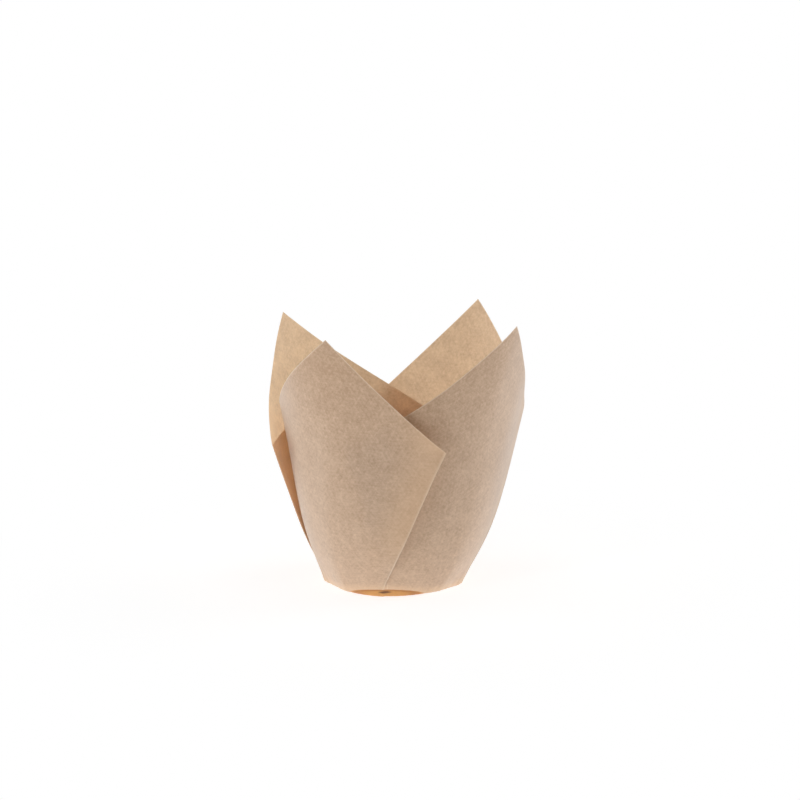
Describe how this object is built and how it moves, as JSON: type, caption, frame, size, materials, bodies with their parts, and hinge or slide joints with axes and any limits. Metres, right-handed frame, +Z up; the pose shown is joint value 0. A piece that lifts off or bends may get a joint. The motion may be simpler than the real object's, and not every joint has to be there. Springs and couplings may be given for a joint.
{
  "type": "cupcake liner",
  "caption": "Tulip baking liner folded from one square sheet of brown greaseproof paper, with a flat round base, pleated sides and pointed petals.",
  "frame": {"origin": "middle of the round base, on the surface it stands on", "axes": "+Z up out of the cup's mouth, -Y the front seen in the picture, +X the viewer's right"},
  "size_m": [0.0935, 0.0935, 0.1013],
  "materials": {
    "greaseproof_paper": "matt unbleached brown, lets some light through"
  },
  "bodies": {
    "root": {"liner": "greaseproof_paper"}
  },
  "joints": []
}
